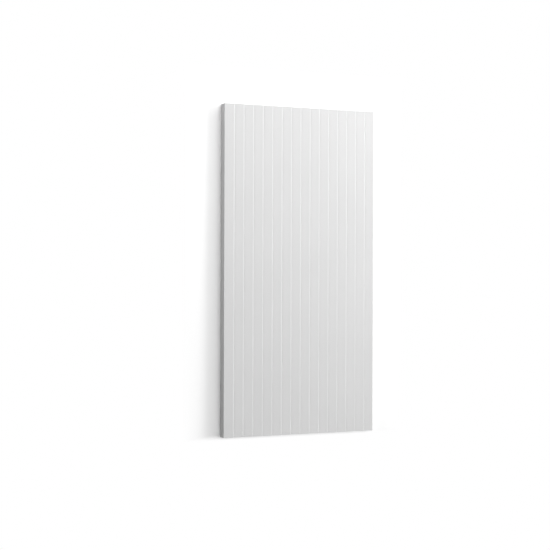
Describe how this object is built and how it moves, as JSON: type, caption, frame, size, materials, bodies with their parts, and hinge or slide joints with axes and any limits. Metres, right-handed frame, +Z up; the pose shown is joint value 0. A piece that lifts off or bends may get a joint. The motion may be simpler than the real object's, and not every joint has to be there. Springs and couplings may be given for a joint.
{
  "type": "wall panel",
  "caption": "Rectangular white wall panel moulded in one piece, with a flat back and a front of slim straight strips that lap like narrow boards",
  "frame": {"origin": "centre of the flat back, on the surface that the panel lies on", "axes": "X runs across the strips towards their rounded edges, Y along the strips, Z up through the thickness, out of the ribbed front"},
  "size_m": [0.25, 0.5, 0.016],
  "materials": {
    "primed_polymer": "matte white primer on dense rigid polymer foam"
  },
  "bodies": {
    "root": {"wall_panel": "primed_polymer"}
  },
  "joints": []
}
